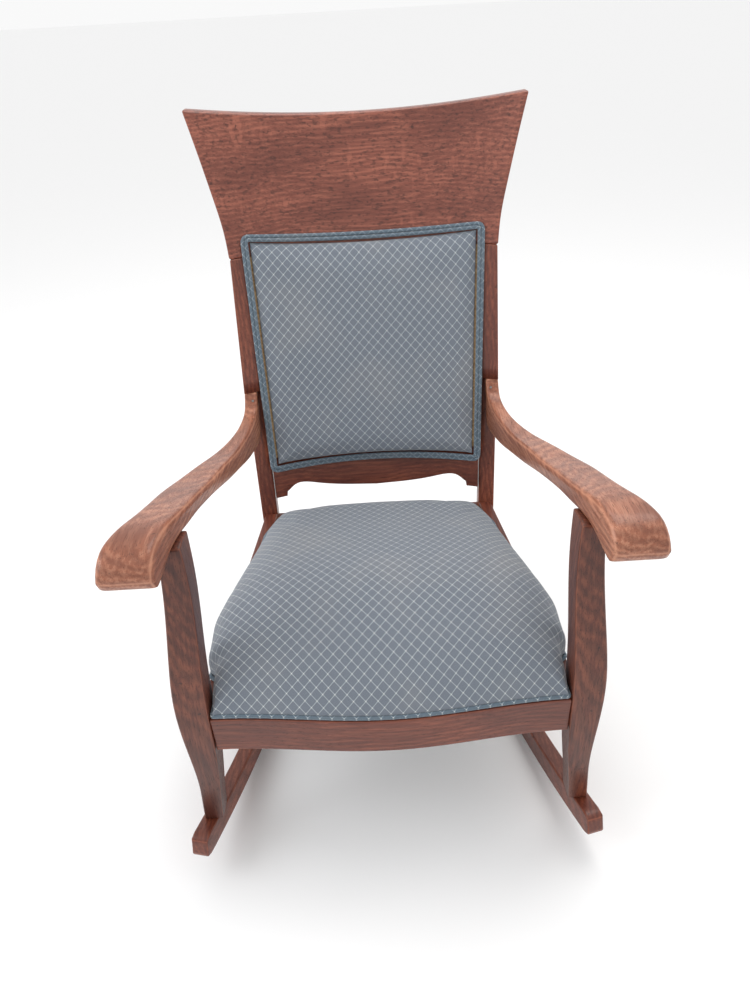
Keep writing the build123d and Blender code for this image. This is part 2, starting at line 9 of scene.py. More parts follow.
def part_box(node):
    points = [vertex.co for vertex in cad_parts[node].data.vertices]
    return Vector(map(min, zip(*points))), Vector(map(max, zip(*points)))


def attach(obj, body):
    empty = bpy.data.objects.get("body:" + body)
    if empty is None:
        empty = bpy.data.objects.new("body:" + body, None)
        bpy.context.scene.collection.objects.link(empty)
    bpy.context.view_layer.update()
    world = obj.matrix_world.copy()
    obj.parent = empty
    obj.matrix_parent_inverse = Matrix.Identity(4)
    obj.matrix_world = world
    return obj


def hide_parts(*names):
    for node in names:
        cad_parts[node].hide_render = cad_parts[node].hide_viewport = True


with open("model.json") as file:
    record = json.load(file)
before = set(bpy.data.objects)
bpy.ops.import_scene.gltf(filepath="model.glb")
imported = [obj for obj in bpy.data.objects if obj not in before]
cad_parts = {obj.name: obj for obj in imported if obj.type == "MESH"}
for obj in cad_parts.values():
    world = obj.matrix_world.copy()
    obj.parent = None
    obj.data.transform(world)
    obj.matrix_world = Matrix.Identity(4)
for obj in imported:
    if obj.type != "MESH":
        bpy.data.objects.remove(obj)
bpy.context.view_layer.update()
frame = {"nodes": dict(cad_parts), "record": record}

# An upholstered oak rocking chair with a flared crest board, rolled arms and a domed seat.
# Shapes are laid out in millimetres: X across, Y back from the front seat rail, Z up from the floor.

MILLIMETRE = 0.001
SEAT_BOW = 20.0
HALF_FRONT = 270.0
RAIL_LOW, RAIL_TOP = 268.0, 335.0
RAIL_THICK = 24.0
BACK_RADIUS = 640.0
BACK_FOOT = 455.0
LEAN = math.tan(math.radians(16.8))
ARM_JOINT, CREST_JOINT = 586.0, 824.0
ARM_NOTCH = 18.0
POST_WIDE = 30.0
STILE_HALF = 247.5
ROCKER_RADIUS, ROCKER_TALL, ROCKER_THICK = 1500.0, 42.0, 28.0
TOE_IN = math.radians(13.0)
BALANCE_Y = 355.0
WELT_RADIUS = 3.5

# The crest board: height of its middle at the top, dip below its ears, half width and thickness
CREST_MIDDLE, CREST_DIP, CREST_HALF, CREST_THICK = 1043.0, 26.0, 300.0, 25.0

# The lower back rail: underside of its ears and top, and its two faces behind the back's face
EAR_LOW, LOWER_RAIL_TOP = 366.0, 452.0
LOWER_RAIL_FACES = (10.0, 32.0)

# The back panel in front view: foot, head in its middle, rise of its corners, half widths
PANEL_FOOT, PANEL_HEAD, PANEL_RISE = 425.0, 850.0, 15.0
PANEL_FOOT_HALF, PANEL_HEAD_HALF = 211.5, 226.0

# The cloth's lattice and its weave, in metres
LATTICE_WIDE, LATTICE_HIGH, WEAVE_PITCH = 0.018, 0.020, 0.0011

# The frame's origin lies behind the swell of the front rail by this much
MIDDLE_Y = -SEAT_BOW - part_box("front_seat_rail")[0][1] / MILLIMETRE


def stand(x, y, z):
    """Points laid out in millimetres, in metres and in the frame."""
    spots = np.stack(np.broadcast_arrays(x, y - MIDDLE_Y, z), axis=-1)
    return spots.astype(float) * MILLIMETRE


def between(low, high, share):
    return low + (high - low) * share


def ease(low, high, value):
    """0 below low, 1 above high, with a smooth rise between."""
    share = np.clip((value - low) / (high - low), 0.0, 1.0)
    return share * share * (3 - 2 * share)


def fair(*knots):
    """A fair curve through rows of (position, value, ...), as a function of position."""
    rows = np.array(sorted(knots), float)
    at, values = rows[:, 0], rows[:, 1:]
    count, gap = len(at), np.diff(at)
    system, pull = np.eye(count), np.zeros_like(values)
    for i in range(1, count - 1):
        system[i, i - 1:i + 2] = gap[i - 1], 2 * (gap[i - 1] + gap[i]), gap[i]
        pull[i] = 6 * ((values[i + 1] - values[i]) / gap[i] - (values[i] - values[i - 1]) / gap[i - 1])
    bend = np.linalg.solve(system, pull)

    def curve(position):
        position = np.clip(position, at[0], at[-1])
        i = np.clip(np.searchsorted(at, position) - 1, 0, count - 2)
        wide = gap[i][..., None]
        near, far = (position - at[i])[..., None], (at[i + 1] - position)[..., None]
        value = (bend[i] * far ** 3 + bend[i + 1] * near ** 3) / (6 * wide)
        value += (values[i] / wide - bend[i] * wide / 6) * far
        value += (values[i + 1] / wide - bend[i + 1] * wide / 6) * near
        return value[..., 0] if values.shape[1] == 1 else value

    return curve


# ---------------------------------------------------------------- finishes


def paint(red, green, blue):
    """A colour given as on a screen, 0 to 255, ready for a shader."""
    channels = [value / 255 for value in (red, green, blue)]
    linear = [v / 12.92 if v <= 0.04045 else ((v + 0.055) / 1.055) ** 2.4 for v in channels]
    return (*linear, 1.0)


class Wire:
    """One output of a shader node, worked with like a number."""

    def __init__(self, finish, socket):
        self.finish, self.socket = finish, socket

    def __add__(self, other):
        return self.finish.maths("ADD", self, other)

    def __sub__(self, other):
        return self.finish.maths("SUBTRACT", self, other)

    def __rsub__(self, other):
        return self.finish.maths("SUBTRACT", other, self)

    def __mul__(self, other):
        return self.finish.maths("MULTIPLY", self, other)

    def __truediv__(self, other):
        return self.finish.maths("DIVIDE", self, other)

    def __pow__(self, other):
        return self.finish.maths("POWER", self, other)

    __radd__ = __add__
    __rmul__ = __mul__


class Finish:
    """A material made of nodes, with one gloss shader."""

    def __init__(self, name, **fixed):
        self.material = bpy.data.materials.new(name)
        self.material.use_nodes = True
        self.tree = self.material.node_tree
        self.shader = self.tree.nodes["Principled BSDF"]
        for socket, value in fixed.items():
            self.shader.inputs[socket.replace("_", " ")].default_value = value

    def node(self, kind, settings=None, sockets=None, out=0):
        made = self.tree.nodes.new(kind)
        for key, value in (settings or {}).items():
            setattr(made, key, value)
        for key, value in (sockets or {}).items():
            self.feed(made.inputs[key], value)
        return Wire(self, made.outputs[out])

    def feed(self, socket, value):
        if isinstance(value, Wire):
            self.tree.links.new(value.socket, socket)
        else:
            socket.default_value = value

    def maths(self, operation, *values):
        return self.node("ShaderNodeMath", {"operation": operation}, dict(enumerate(values)))

    def vector(self, operation, *values, out=0):
        return self.node("ShaderNodeVectorMath", {"operation": operation}, dict(enumerate(values)), out)

    def noise(self, place, scale, detail=2.0, rough=0.5):
        sockets = {"Vector": place, "Scale": scale, "Detail": detail, "Roughness": rough}
        return self.node("ShaderNodeTexNoise", None, sockets, "Fac")

    def blend(self, share, first, second):
        return self.node("ShaderNodeMix", {"data_type": "RGBA"}, {0: share, 6: first, 7: second}, 2)

    def rise(self, value, low, high):
        """0 to 1 as a value goes from low to high, smoothly."""
        sockets = {"Value": value, "From Min": low, "From Max": high}
        return self.node("ShaderNodeMapRange", {"interpolation_type": "SMOOTHSTEP"}, sockets)

    def attribute(self, name, out="Vector"):
        return self.node("ShaderNodeAttribute", {"attribute_name": name}, None, out)

    def surface(self, colour, roughness=None, height=None, depth=0.0002, strength=0.5):
        self.feed(self.shader.inputs["Base Color"], colour)
        if roughness is not None:
            self.feed(self.shader.inputs["Roughness"], roughness)
        if height is not None:
            sockets = {"Height": height, "Distance": depth, "Strength": strength}
            self.feed(self.shader.inputs["Normal"], self.node("ShaderNodeBump", None, sockets))
        return self.material


def oak(name, grain, layers, pitch, tones, gloss, fleck=0.0, wear=0.5, offset=(0.0, 0.0, 0.0)):
    """Varnished oak. grain is the axis that the fibres follow, layers the direction through
    the growth rings, pitch their spacing in metres, tones dark, middle and pale colours."""
    dark, middle, pale = tones
    finish = Finish(name, Coat_Weight=gloss, Coat_Roughness=0.22, Specular_IOR_Level=0.35)
    place = finish.vector("ADD", finish.node("ShaderNodeTexCoord", out="Object"), offset)

    def stretched(across, along):
        scale = [across] * 3
        scale["XYZ".index(grain)] = along
        return finish.vector("MULTIPLY", place, tuple(scale))

    cloud = finish.noise(stretched(14, 5), 1.0, 3.0)
    streak = finish.noise(stretched(230, 7), 1.0, 4.0, 0.6)
    pore = finish.noise(stretched(950, 36), 1.0, 2.0, 0.6)
    wander = finish.noise(stretched(16, 6), 1.0, 2.0)
    ring = finish.vector("DOT_PRODUCT", place, layers, out="Value") / pitch + wander * 9.0
    band = finish.maths("PINGPONG", ring, 1.0)
    band = finish.rise(band, 0.1, 0.95)
    tone = finish.blend(0.45 + finish.rise(cloud, 0.2, 0.8) * 0.5, dark, middle)
    tone = finish.blend(finish.rise(cloud * 0.35 + streak * 0.65, 0.42, 0.68) * 0.7, tone, pale)
    tone = finish.blend((1.0 - band) * 0.42, tone, dark)
    tone = finish.blend(finish.rise(streak, 0.56, 0.72) * 0.35, tone, dark)
    deep = tuple(0.42 * value for value in dark[:3]) + (1.0,)
    tone = finish.blend(finish.rise(pore, 0.57, 0.68) * 0.62, tone, deep)
    if fleck:
        ripple = finish.noise(stretched(210, 85), 1.0, 3.0, 0.62)
        tone = finish.blend(finish.rise(ripple, 0.53, 0.64) * fleck, tone, deep)
        flake = finish.noise(stretched(38, 90), 1.0, 1.0)
        flake = finish.rise(flake, 0.6, 0.68) * finish.rise(cloud, 0.42, 0.6)
        tone = finish.blend(flake * 0.16, tone, tuple(min(1, 1.35 * v) for v in pale[:3]) + (1.0,))
    worn = finish.attribute("worn", "Fac") + finish.noise(place, 60.0, 3.0) * 0.7
    edge = finish.rise(worn, 0.85, 1.35) * wear
    tone = finish.blend(edge, tone, pale)
    nick = finish.rise(finish.noise(place, 95.0, 2.0), 0.71, 0.76) * 0.6
    tone = finish.blend(nick, tone, deep)
    rough = 0.34 + cloud * 0.16 + finish.rise(pore, 0.5, 0.7) * 0.18
    return finish.surface(tone, rough, pore * -1.0 + streak * -0.6, 0.0004, 0.4)


def plain_wood():
    """Pale, unvarnished wood of the hidden parts."""
    finish = Finish("plain_wood")
    place = finish.node("ShaderNodeTexCoord", out="Object")
    streak = finish.noise(finish.vector("MULTIPLY", place, (20.0, 220.0, 220.0)), 1.0, 4.0)
    tone = finish.blend(finish.rise(streak, 0.35, 0.65), paint(158, 122, 82), paint(196, 164, 122))
    return finish.surface(tone, 0.6 + streak * 0.2, streak, 0.0003, 0.4)


def lattice_cloth(name, ground, deep_ground, line, dot_size=0.085, thread=0.036):
    """Slate cloth crossed by a fine pale diagonal lattice with a bright knot at each crossing."""
    finish = Finish(name, Sheen_Weight=0.35, Sheen_Roughness=0.4, Specular_IOR_Level=0.2)
    cloth = finish.attribute("cloth")
    parts = finish.tree.nodes.new("ShaderNodeSeparateXYZ")
    finish.feed(parts.inputs[0], cloth)
    across, along = Wire(finish, parts.outputs[0]), Wire(finish, parts.outputs[1])
    away = []
    for turn in (1.0, -1.0):
        step = across / LATTICE_WIDE + along * (turn / LATTICE_HIGH)
        away.append(finish.maths("ABSOLUTE", finish.maths("FRACT", step + 0.5) - 0.5))
    fuzz = finish.noise(cloth, 1300.0, 2.0, 0.6)
    patch = finish.noise(cloth, 7.0, 3.0)
    near = finish.maths("MINIMUM", *away) + (fuzz - 0.5) * 0.02
    thin = 1.0 - finish.rise(near, thread * 0.55, thread * 1.45)
    knot = 1.0 - finish.rise(finish.maths("SQRT", away[0] ** 2.0 + away[1] ** 2.0), dot_size * 0.6, dot_size)
    warp = finish.maths("SINE", across * (2 * math.pi / WEAVE_PITCH))
    weft = finish.maths("SINE", along * (2 * math.pi / WEAVE_PITCH))
    weave = warp * weft
    tone = finish.blend(finish.rise(fuzz, 0.3, 0.72), deep_ground, ground)
    soiled = tuple(0.8 * a + 0.2 * b for a, b in zip(ground, paint(150, 132, 105)))
    tone = finish.blend(finish.rise(patch, 0.45, 0.75) * 0.5, tone, soiled)
    tone = finish.blend(finish.rise(weave, -0.2, 1.0) * 0.16, tone, deep_ground)
    tone = finish.blend(thin * (0.35 + fuzz * 0.5), tone, line)
    tone = finish.blend(knot * 0.85, tone, paint(226, 230, 226))
    return finish.surface(tone, 0.86, weave * 0.5 + fuzz + thin * 0.8 + knot, 0.0005, 0.5)


def woven(name, thread, light, dark, roughness=0.9, depth=0.0006):
    """A plain weave of threads of that width, for webbing, burlap and cambric."""
    finish = Finish(name, Specular_IOR_Level=0.2)
    place = finish.node("ShaderNodeTexCoord", out="Object")
    parts = finish.tree.nodes.new("ShaderNodeSeparateXYZ")
    finish.feed(parts.inputs[0], place)
    wave = [finish.maths("SINE", Wire(finish, parts.outputs[axis]) * (math.pi / thread)) for axis in (0, 1)]
    over = finish.rise(wave[0] * wave[1], -0.6, 0.6)
    fuzz = finish.noise(place, 900.0, 3.0)
    tone = finish.blend(over * 0.6 + fuzz * 0.4, dark, light)
    return finish.surface(tone, roughness, over + fuzz, depth, 0.6)


def loose_fibre():
    """Matted cotton and hair stuffing."""
    finish = Finish("padding_fibre", Specular_IOR_Level=0.1)
    place = finish.node("ShaderNodeTexCoord", out="Object")
    tuft = finish.noise(place, 260.0, 5.0, 0.7)
    tone = finish.blend(finish.rise(tuft, 0.3, 0.7), paint(176, 164, 138), paint(226, 219, 200))
    return finish.surface(tone, 0.95, tuft, 0.002, 0.8)


def dull_steel():
    """Steel with a brown bloom of age."""
    finish = Finish("dull_steel", Metallic=1.0)
    place = finish.node("ShaderNodeTexCoord", out="Object")
    bloom = finish.rise(finish.noise(place, 140.0, 4.0), 0.45, 0.65)
    tone = finish.blend(bloom, paint(150, 150, 148), paint(96, 74, 60))
    return finish.surface(tone, 0.38 + bloom * 0.3, bloom, 0.0001, 0.3)


CREST_TONES = paint(84, 40, 30), paint(134, 72, 56), paint(176, 106, 84)
FRAME_TONES = paint(70, 32, 23), paint(118, 58, 41), paint(158, 88, 62)
# The legs' tones are the frame's oak tones darkened, as painted shade on the legs.
LEG_TONES_PAINTED_SHADE = paint(50, 24, 18), paint(96, 47, 34), paint(140, 80, 56)
ARM_TONES = paint(98, 52, 36), paint(158, 96, 70), paint(206, 146, 116)

oak_crest = oak("oak_crest", "X", (0.0, 0.0, 1.0), 0.004, CREST_TONES, 0.35, fleck=0.55, wear=0.25)
oak_cross = oak("oak_cross", "X", (0.0, 0.3, 1.0), 0.005, FRAME_TONES, 0.35)
oak_stile = oak("oak_stile", "Z", (1.0, 0.2, 0.0), 0.004, FRAME_TONES, 0.4, offset=(0.3, 0.1, 0.0))
# The legs' oak carries painted shade in its darker tones.
oak_leg_painted_shade = oak("oak_leg_painted_shade", "Z", (0.25, 1.0, 0.05), 0.0035, LEG_TONES_PAINTED_SHADE, 0.35, offset=(0.0, 0.4, 0.2))
oak_arm = oak("oak_arm", "Y", (0.2, 0.0, 1.0), 0.0045, ARM_TONES, 0.3, offset=(0.1, 0.0, 0.5))
oak_rocker = oak("oak_rocker", "Y", (1.0, 0.0, 0.3), 0.004, FRAME_TONES, 0.3, offset=(0.5, 0.2, 0.0))
pad_cloth = lattice_cloth("lattice_cloth", paint(133, 140, 149), paint(98, 106, 117), paint(196, 202, 204))
welt_cloth = lattice_cloth(
    "welt_cloth", paint(112, 126, 138), paint(78, 94, 106), paint(170, 182, 188), dot_size=0.09, thread=0.036
)
jute = woven("jute_weave", 0.003, paint(176, 146, 100), paint(116, 88, 54))
cambric = woven("black_cambric", 0.0012, paint(44, 44, 48), paint(20, 20, 23), depth=0.0002)

SLOT_FINISH = {
    "oak_frame": oak_cross,
    "oak_arms": oak_arm,
    "plain_wood": plain_wood(),
    "lattice_fabric": pad_cloth,
    "welt_cord": welt_cloth,
    "jute": jute,
    "padding": loose_fibre(),
    "dust_cloth": cambric,
    "steel": dull_steel(),
}
for part in frame["record"]["subparts"]:
    mesh = frame["nodes"][part["node"]].data
    mesh.materials.clear()
    mesh.materials.append(SLOT_FINISH[part["material_slot"]])


frame["nodes"]["rear_seat_rail"].data.materials[0] = oak_cross

# ---------------------------------------------------------------- making pieces


def mesh_piece(name, spots, faces, finish, slot, nodes, **attributes):
    """A closed piece from points and faces, facing outwards, that stands for CAD nodes."""
    mesh = bpy.data.meshes.new(name)
    first = spots[[face[0] for face in faces]]
    second, third = spots[[face[1] for face in faces]], spots[[face[2] for face in faces]]
    inside_out = np.einsum("ij,ij->i", first, np.cross(second, third)).sum() < 0
    faces = [face[::-1] if inside_out else face for face in faces]
    mesh.from_pydata(spots.tolist(), [], faces)
    mesh.polygons.foreach_set("use_smooth", [True] * len(faces))
    for label, values in attributes.items():
        kind, field = ("FLOAT_VECTOR", "vector") if values.ndim == 2 else ("FLOAT", "value")
        mesh.attributes.new(label, kind, "POINT").data.foreach_set(field, values.ravel())
    mesh.materials.append(finish)
    piece = bpy.data.objects.new(name, mesh)
    bpy.context.scene.collection.objects.link(piece)
    return belongs(piece, nodes)


def belongs(piece, nodes):
    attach(piece, "root")
    if nodes:
        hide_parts(*nodes)
    return piece


def side_steps(length, cells, rounding, arcs=4):
    """Positions along a block's side, closer together over its rounded ends. cells is a count
    or the shares of the length where the faces meet."""
    half = length / 2
    bend = rounding * np.tan(np.radians(np.linspace(0, 45, arcs + 1)))
    inner = half - rounding
    if isinstance(cells, int):
        middle = np.linspace(-inner, inner, cells + 1)
    else:
        middle = np.array([-inner, *[(share - 0.5) * length for share in cells], inner])
    return np.concatenate([-(inner + bend[:0:-1]), middle, inner + bend[1:]])


def block(name, size, cells, rounding, place, finish, slot, nodes):
    """A solid with rounded edges, bent into its place by a function of three shares of its size."""
    size = np.array(size, float)
    steps = [side_steps(length, count, rounding) for length, count in zip(size, cells)]
    counts = [len(line) for line in steps]
    index = np.stack(np.meshgrid(*[np.arange(count) for count in counts], indexing="ij"), axis=-1)
    skin = np.any((index == 0) | (index == np.array(counts) - 1), axis=-1)
    number = np.full(counts, -1)
    number[skin] = np.arange(skin.sum())
    spots = np.stack([steps[axis][index[skin][:, axis]] for axis in range(3)], axis=-1)
    core = np.clip(spots, rounding - size / 2, size / 2 - rounding)
    away = spots - core
    reach = np.linalg.norm(away, axis=1, keepdims=True)
    share = (core + away * rounding / reach + size / 2) / size
    faces = []
    for axis in range(3):
        for end in (0, -1):
            sheet = np.moveaxis(number, axis, 0)[end]
            if (end == 0) == (axis != 1):
                sheet = sheet.T
            corners = sheet[:-1, :-1], sheet[1:, :-1], sheet[1:, 1:], sheet[:-1, 1:]
            faces += np.stack(corners, axis=-1).reshape(-1, 4).tolist()
    spots = stand(*place(*share.T))
    worn = np.sort(np.abs(away), axis=1)[:, 1] / rounding
    flat = share * size * (1, 1, 0)
    cloth = flat * MILLIMETRE
    return mesh_piece(name, spots, faces, finish, slot, nodes, worn=worn, cloth=cloth)


def pair(name, size, cells, rounding, place, finish, slot, node):
    """The right and left pieces of a kind, mirrored across the chair."""
    for side, turn in (("right", 1.0), ("left", -1.0)):
        def mirrored(a, b, c, turn=turn):
            x, y, z = place(a, b, c)
            return turn * x, y, z
        block(f"{name}_{side}", size, cells, rounding, mirrored, finish, slot, [f"{node}_{side}"])


def back_face(x, z, behind=0.0):
    """Depth of the back's hollow face, or of a face so far behind it."""
    return BACK_FOOT - BACK_RADIUS + np.sqrt((BACK_RADIUS + behind) ** 2 - x * x) + LEAN * z


def rocker_top(y):
    """Height of a rocker's upper edge."""
    along = (y - BALANCE_Y) / math.cos(TOE_IN)
    return ROCKER_RADIUS - np.sqrt((ROCKER_RADIUS - ROCKER_TALL) ** 2 - along * along)


# ---------------------------------------------------------------- oak frame

crest_side = fair((824, 249), (872, 254), (925, 265), (993, 281), (1069, 300))


def crest(across, up, behind):
    z = CREST_JOINT + up * 245.0
    for _ in range(4):
        x = (2 * across - 1) * crest_side(z)
        z = between(CREST_JOINT, CREST_MIDDLE + CREST_DIP * (x / CREST_HALF) ** 2, up)
    return x, back_face(x, z, CREST_THICK * behind), z


block("crest_of_back", (600, 235, 25), (60, 24, 2), 4.5, crest, oak_crest, "oak_frame", ["crest_board"])

post_outer = [(20.0, 227.0), (318.0, 239.0), (ARM_JOINT, STILE_HALF), (CREST_JOINT, STILE_HALF)]
POST_LOW = 40.0
POST_RISE = CREST_JOINT - POST_LOW


def rear_post(up, across, behind):
    z = POST_LOW + POST_RISE * up
    x = np.interp(z, *zip(*post_outer)) - POST_WIDE * (1 - across)
    notch = np.where(z < ARM_JOINT - 0.2, ARM_NOTCH, 0.0)
    depth = np.interp(z, [ARM_JOINT, CREST_JOINT], [54.0, 25.0])
    rear = back_face(STILE_HALF - POST_WIDE / 2, z) + depth
    y = between(back_face(x, z, notch), rear, behind)
    z = z + (rocker_top(y) - POST_LOW) * np.clip(1 - up / 0.1, 0, 1)
    return x, y, z


ledge = (ARM_JOINT - POST_LOW) / POST_RISE
post_cells = [*np.linspace(0.04, ledge - 0.0004, 24), ledge + 0.0001, *np.linspace(ledge + 0.03, 0.97, 10)]
pair(
    "back_post", (POST_RISE, POST_WIDE, 50), (post_cells, 3, 4), 2.6, rear_post, oak_stile, "oak_frame",
    "rear_post",
)

leg_outer = fair(
    (30, 322), (105, 319), (190, 312), (295, 316), (370, 319), (430, 315), (560, 303), (650, 300)
)
leg_inner = fair(
    (30, 294), (120, 286), (195, 277), (270, 271), (340, 270.5), (425, 269), (560, 265), (650, 270)
)
leg_front = fair((30, 6), (120, 2), (200, -4), (290, -5), (400, 8), (510, 30), (650, 52))
leg_back = fair((30, 46), (120, 44), (200, 43), (290, 45), (400, 56), (510, 76), (650, 104))
arm_under = fair((2, 607), (34, 617), (60, 622), (116, 611), (218, 583))


def front_leg(up, across, behind):
    z = between(82.0, 618.0, up)
    for _ in range(4):
        y = between(leg_front(z), leg_back(z), behind)
        z = between(rocker_top(y), arm_under(y), up)
    return between(leg_inner(z), leg_outer(z), across), y, z


pair("leg", (540, 44, 42), (56, 5, 5), 3.2, front_leg, oak_leg_painted_shade, "oak_frame", "front_leg")

ROCKER_ENDS = [math.asin((y - BALANCE_Y) / math.cos(TOE_IN) / ROCKER_RADIUS) for y in (-48.0, 745.0)]
ROCKER_LENGTH = (ROCKER_ENDS[1] - ROCKER_ENDS[0]) * ROCKER_RADIUS
TOE_ROUND = 12.0


def rocker(along, up, across):
    """A curved runner whose ends are rounded in side view, lying on its toed-in line."""
    angle = between(*ROCKER_ENDS, along)
    from_end = np.clip(np.minimum(along, 1 - along) * ROCKER_LENGTH, 0, TOE_ROUND)
    inset = TOE_ROUND - np.sqrt(TOE_ROUND ** 2 - (TOE_ROUND - from_end) ** 2)
    radius = ROCKER_RADIUS - between(inset, ROCKER_TALL - inset, up)
    out, forth = (across - 0.5) * ROCKER_THICK, radius * np.sin(angle)
    x = 308.0 - math.tan(TOE_IN) * (BALANCE_Y - 25.0) + math.cos(TOE_IN) * out - math.sin(TOE_IN) * forth
    y = BALANCE_Y + math.sin(TOE_IN) * out + math.cos(TOE_IN) * forth
    return x, y, ROCKER_RADIUS - radius * np.cos(angle)


pair("runner", (ROCKER_LENGTH, 42, 28), (70, 4, 3), 3.0, rocker, oak_rocker, "oak_frame", "rocker")


def front_rail(across, up, behind):
    x = (2 * across - 1) * (HALF_FRONT - 0.2)
    face = -SEAT_BOW / 2 * (1 + np.cos(np.pi * x / HALF_FRONT))
    return x, between(face, RAIL_THICK, behind), between(RAIL_LOW, RAIL_TOP, up)


block("front_rail", (540, 67, 30), (60, 6, 3), 2.2, front_rail, oak_cross, "oak_frame", ["front_seat_rail"])


def side_rail(along, up, inside):
    z = between(RAIL_LOW, RAIL_TOP, up)
    y = between(45.0, back_face(228.0, z, ARM_NOTCH) - 0.3, along)
    return 288.0 - RAIL_THICK * inside - 0.108 * (y - 25.0), y, z


pair("side_rail", (450, 67, 24), (20, 4, 2), 2.2, side_rail, oak_rocker, "oak_frame", "side_seat_rail")

scallop = fair((0, 366), (75, 372), (120, 381), (150, 388), (168, 386), (183, 375))


def lower_rail(across, up, behind):
    x = (2 * across - 1) * 211.0
    bow = np.abs(x)
    low = np.where(bow > 185, EAR_LOW, scallop(bow))
    z = between(low, LOWER_RAIL_TOP, up)
    reach = 210.0 + 0.028 * (z - LOWER_RAIL_TOP)
    return np.clip(x, -reach, reach), back_face(x, z, between(*LOWER_RAIL_FACES, behind)), z


lower_cells = [0.5 + x / 422 for x in sorted([*range(-204, 205, 6), -185.5, -184.6, 184.6, 185.5])]
block(
    "scalloped_rail", (422, 80, 22), (lower_cells, 6, 2), 2.4, lower_rail, oak_cross, "oak_frame",
    ["lower_back_rail"],
)

# Arms: pairs of points on the upper and under edges in side view, from the stile to the nose
arm_pairs = [
    (588, 586, 606.6, 586), (586, 579, 603, 574), (580, 569, 597, 555), (570, 560, 589, 528),
    (552, 553, 580, 500), (530, 549.8, 560, 492), (505, 549, 530, 495), (455, 553, 477, 504),
    (402, 561, 420, 519), (330, 580, 347, 540), (253, 600, 263, 569), (205, 615, 210, 585.5),
    (159, 629, 160, 600), (115, 643, 112, 612), (78, 654, 74, 620), (45, 661.5, 44, 619),
    (20, 663, 24, 613), (0, 660, 8, 607.5), (-16, 651, -2, 606.5), (-26, 637, -13, 608),
    (-27.5, 626, -22, 614),
]
arm_steps = np.cumsum([0.0] + [
    (math.dist(a[:2], b[:2]) + math.dist(a[2:], b[2:])) / 2 for a, b in zip(arm_pairs, arm_pairs[1:])
])
arm_line = fair(*[(step, *points) for step, points in zip(arm_steps, arm_pairs)])
ARM_LENGTH = arm_steps[-1]
arm_outer = fair(
    (-40, 358), (0, 357), (44, 347), (100, 336), (165, 331), (245, 322), (311, 308), (390, 290),
    (454, 272), (533, 256), (590, 248.5), (660, 247.5),
)
arm_inner = fair(
    (-40, 286), (15, 281), (78, 272), (159, 266), (253, 258), (402, 243), (590, 224), (660, 222.5)
)


def arm(along, across, up):
    upper_y, upper_z, under_y, under_z = arm_line(along * ARM_LENGTH).T
    y, z = between(under_y, upper_y, up), between(under_z, upper_z, up)
    return between(arm_inner(y), arm_outer(y), across), y, z


pair("armrest", (ARM_LENGTH, 64, 36), (84, 8, 3), 9.5, arm, oak_arm, "oak_arms", "arm")


# ---------------------------------------------------------------- upholstery


def evenly(line, count):
    """A line of points again, with so many evenly spaced ones."""
    line = np.array(line, float)
    far = np.concatenate([[0], np.cumsum(np.linalg.norm(np.diff(line, axis=0), axis=1))])
    smooth = fair(*[(step, *point) for step, point in zip(far, line)])
    return smooth(np.linspace(0, far[-1], count))


def lengths(grid, axis):
    """Distance travelled along one way of a grid of points, from its middle."""
    step = np.linalg.norm(np.diff(grid, axis=axis), axis=-1)
    far = np.cumsum(step, axis=axis)
    far = np.insert(far, 0, 0.0, axis=axis)
    middle = np.take(far, [far.shape[axis] // 2], axis=axis)
    return far - middle


def padded_form(name, grid, base, finish, slot, nodes):
    """A closed pad over a grid of points in metres, whose underside is laid on its base by a function."""
    rows, columns = grid.shape[:2]
    cloth = np.zeros(grid.shape)
    cloth[..., 0] = lengths(grid, 1)
    cloth[..., 1] = lengths(grid, 0)[:, [columns // 2]]
    number = np.arange(rows * columns).reshape(rows, columns)
    corners = number[:-1, :-1], number[:-1, 1:], number[1:, 1:], number[1:, :-1]
    faces = np.stack(corners, axis=-1).reshape(-1, 4).tolist()
    rim = [*number[0, :-1], *number[:-1, -1], *number[-1, :0:-1], *number[:0:-1, 0]]
    rim = [int(i) for i in rim]
    spots = grid.reshape(-1, 3)
    ring, middle = rim, spots[rim].mean(axis=0)
    extra, extra_cloth = [], []
    for shrink in (0.7, 0.4, 0.1):
        fresh = list(range(len(spots) + len(extra), len(spots) + len(extra) + len(rim)))
        extra += list(base(middle + (spots[rim] - middle) * shrink))
        extra_cloth += [cloth.reshape(-1, 3)[i] for i in rim]
        for here in range(len(rim)):
            after = (here + 1) % len(rim)
            faces.append([ring[after], ring[here], fresh[here], fresh[after]])
        ring = fresh
    faces.append(ring[::-1])
    spots = np.vstack([spots, extra])
    cloth = np.vstack([cloth.reshape(-1, 3), extra_cloth])
    piece = mesh_piece(name, spots, faces, finish, slot, nodes, cloth=cloth)
    held = rim + list(range(rows * columns, len(spots)))
    return piece, held


